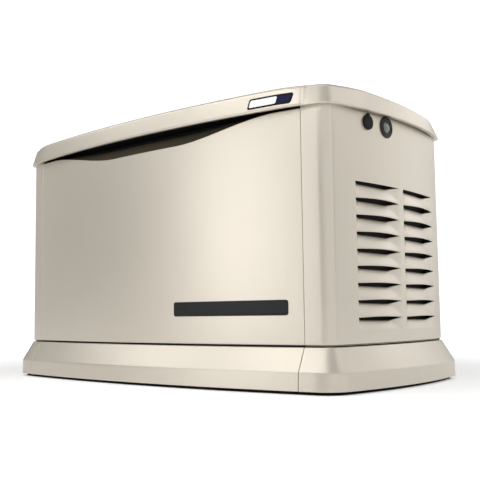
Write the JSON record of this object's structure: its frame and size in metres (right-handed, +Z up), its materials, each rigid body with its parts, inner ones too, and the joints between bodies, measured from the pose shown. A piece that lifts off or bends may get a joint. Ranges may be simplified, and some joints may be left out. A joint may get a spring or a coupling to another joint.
{
  "type": "home standby generator",
  "caption": "Bowed beige sheet-metal generator enclosure on a wrapped base, hinged roof, lift-off front door, louvred ends, engine and alternator inside.",
  "frame": {"origin": "middle of the footprint on the ground, under the mounting pad", "axes": "+X along the length towards the end with the status light, -Y out of the front door, +Z up"},
  "size_m": [1.25, 0.67, 0.7324],
  "materials": {
    "enclosure_paint": "warm beige powder coat, satin",
    "black_paint": "black powder coat, satin",
    "pad_composite": "dark moulded composite",
    "galvanised": "galvanised sheet",
    "steel": "bright plated steel",
    "cast_alloy": "as-cast alloy",
    "rubber": "matt black rubber",
    "foam": "dark acoustic foam",
    "black_plastic": "moulded, fine grain",
    "grey_plastic": "moulded, satin",
    "smoke_lens": "frosted lens",
    "display_glass": "dark display glass",
    "badge_plate": "two-tone plain plate",
    "battery_case": "battery case",
    "brass": "machined brass",
    "heat_steel": "heat-tinted steel",
    "filter_paint": "blue enamel",
    "yellow_plastic": "yellow handle",
    "ivory_plastic": "ivory toggle",
    "green_key": "green key",
    "red_key": "red key",
    "blue_key": "blue key"
  },
  "bodies": {
    "enclosure": {"mounting_pad": "pad_composite", "base_tray": "galvanised", "skirt_front": "enclosure_paint", "skirt_rear": "enclosure_paint", "skirt_left": "enclosure_paint", "skirt_right": "enclosure_paint", "end_panel_left": "enclosure_paint", "end_panel_right": "enclosure_paint", "rear_panel": "enclosure_paint", "front_rail": "black_paint", "exhaust_divider": "galvanised", "rim_seal": "rubber", "hinge_leaves_fixed": "black_paint", "hinge_pins": "steel", "status_bezel": "black_plastic", "status_lens": "smoke_lens", "enclosure_screws": "steel", "control_box": "black_paint", "control_bezel": "grey_plastic", "display_window": "display_glass", "breaker_body": "black_plastic", "battery": "battery_case", "battery_strap": "galvanised", "cable_loom": "rubber", "engine_cradle": "black_paint", "rubber_mounts": "rubber", "crankcase": "cast_alloy", "cylinder_banks": "cast_alloy", "rocker_covers": "black_paint", "blower_housing": "black_plastic", "stator_can": "galvanised", "bearing_carrier": "cast_alloy", "starter_motor": "black_paint", "oil_filter": "filter_paint", "intake_mixer": "cast_alloy", "airbox": "black_plastic", "exhaust_pipes": "heat_steel", "muffler": "heat_steel", "fuel_regulator": "cast_alloy", "fuel_hose": "rubber", "fuel_inlet": "brass", "conduit_entry": "cast_alloy"},
    "lid": {"lid": "enclosure_paint", "lid_liner": "foam", "lid_badge": "badge_plate", "lid_hinge_leaves": "black_paint", "lid_catches": "galvanised"},
    "door": {"front_door": "enclosure_paint"},
    "rotor": {"rotor_shaft": "steel", "flywheel_fan": "cast_alloy"},
    "lock_right": {"lock_barrel_right": "steel"},
    "lock_left": {"lock_barrel_left": "steel"},
    "lock_cap_right": {"lock_cover_right": "rubber"},
    "lock_cap_left": {"lock_cover_left": "rubber"},
    "toggle": {"breaker_toggle": "ivory_plastic"},
    "auto_button": {"button_auto": "green_key"},
    "off_button": {"button_off": "red_key"},
    "manual_button": {"button_manual": "blue_key"},
    "dipstick": {"dipstick": "yellow_plastic"},
    "air_cover": {"airbox_cover": "black_plastic"}
  },
  "joints": [
    {"name": "lid_hinge", "type": "hinge", "parent": "enclosure", "child": "lid", "pos_m": [0, 0.306, 0.656], "axis": [-1, 0, 0], "range_deg": [0, 80]},
    {"name": "door_slide", "type": "slide", "parent": "enclosure", "child": "door", "axis": [0, -1, 0], "range_m": [0, 0.3]},
    {"name": "rotor_spin", "type": "hinge", "parent": "enclosure", "child": "rotor", "pos_m": [0, 0.01, 0.25], "axis": [1, 0, 0], "continuous": true},
    {"name": "lock_turn_right", "type": "hinge", "parent": "enclosure", "child": "lock_right", "pos_m": [0.58282, -0.113, 0.6325], "axis": [-0.9941, 0.1084, 0], "range_deg": [0, 90]},
    {"name": "lock_turn_left", "type": "hinge", "parent": "enclosure", "child": "lock_left", "pos_m": [-0.58282, -0.113, 0.6325], "axis": [-0.9941, -0.1084, 0], "range_deg": [0, 90]},
    {"name": "lock_cap_right_flip", "type": "hinge", "parent": "enclosure", "child": "lock_cap_right", "pos_m": [0.58581, -0.11332, 0.6525], "axis": [-0.1084, -0.9941, 0], "range_deg": [0, 75], "stiffness_Nm_per_rad": 0.02},
    {"name": "lock_cap_left_flip", "type": "hinge", "parent": "enclosure", "child": "lock_cap_left", "pos_m": [-0.58581, -0.11332, 0.6525], "axis": [-0.1084, 0.9941, 0], "range_deg": [0, 75], "stiffness_Nm_per_rad": 0.02},
    {"name": "breaker_throw", "type": "hinge", "parent": "enclosure", "child": "toggle", "pos_m": [-0.37, -0.14, 0.616], "axis": [-1, 0, 0], "range_deg": [0, 50]},
    {"name": "auto_press", "type": "slide", "parent": "enclosure", "child": "auto_button", "axis": [0, 0, -1], "range_m": [0, 0.002], "stiffness_N_per_m": 250, "springref_m": -0.001},
    {"name": "off_press", "type": "slide", "parent": "enclosure", "child": "off_button", "axis": [0, 0, -1], "range_m": [0, 0.002], "stiffness_N_per_m": 250, "springref_m": -0.001},
    {"name": "manual_press", "type": "slide", "parent": "enclosure", "child": "manual_button", "axis": [0, 0, -1], "range_m": [0, 0.002], "stiffness_N_per_m": 250, "springref_m": -0.001},
    {"name": "dipstick_pull", "type": "slide", "parent": "enclosure", "child": "dipstick", "axis": [0, 0, 1], "range_m": [0, 0.2]},
    {"name": "air_cover_lift", "type": "slide", "parent": "enclosure", "child": "air_cover", "axis": [0, 0, 1], "range_m": [0, 0.09]}
  ]
}
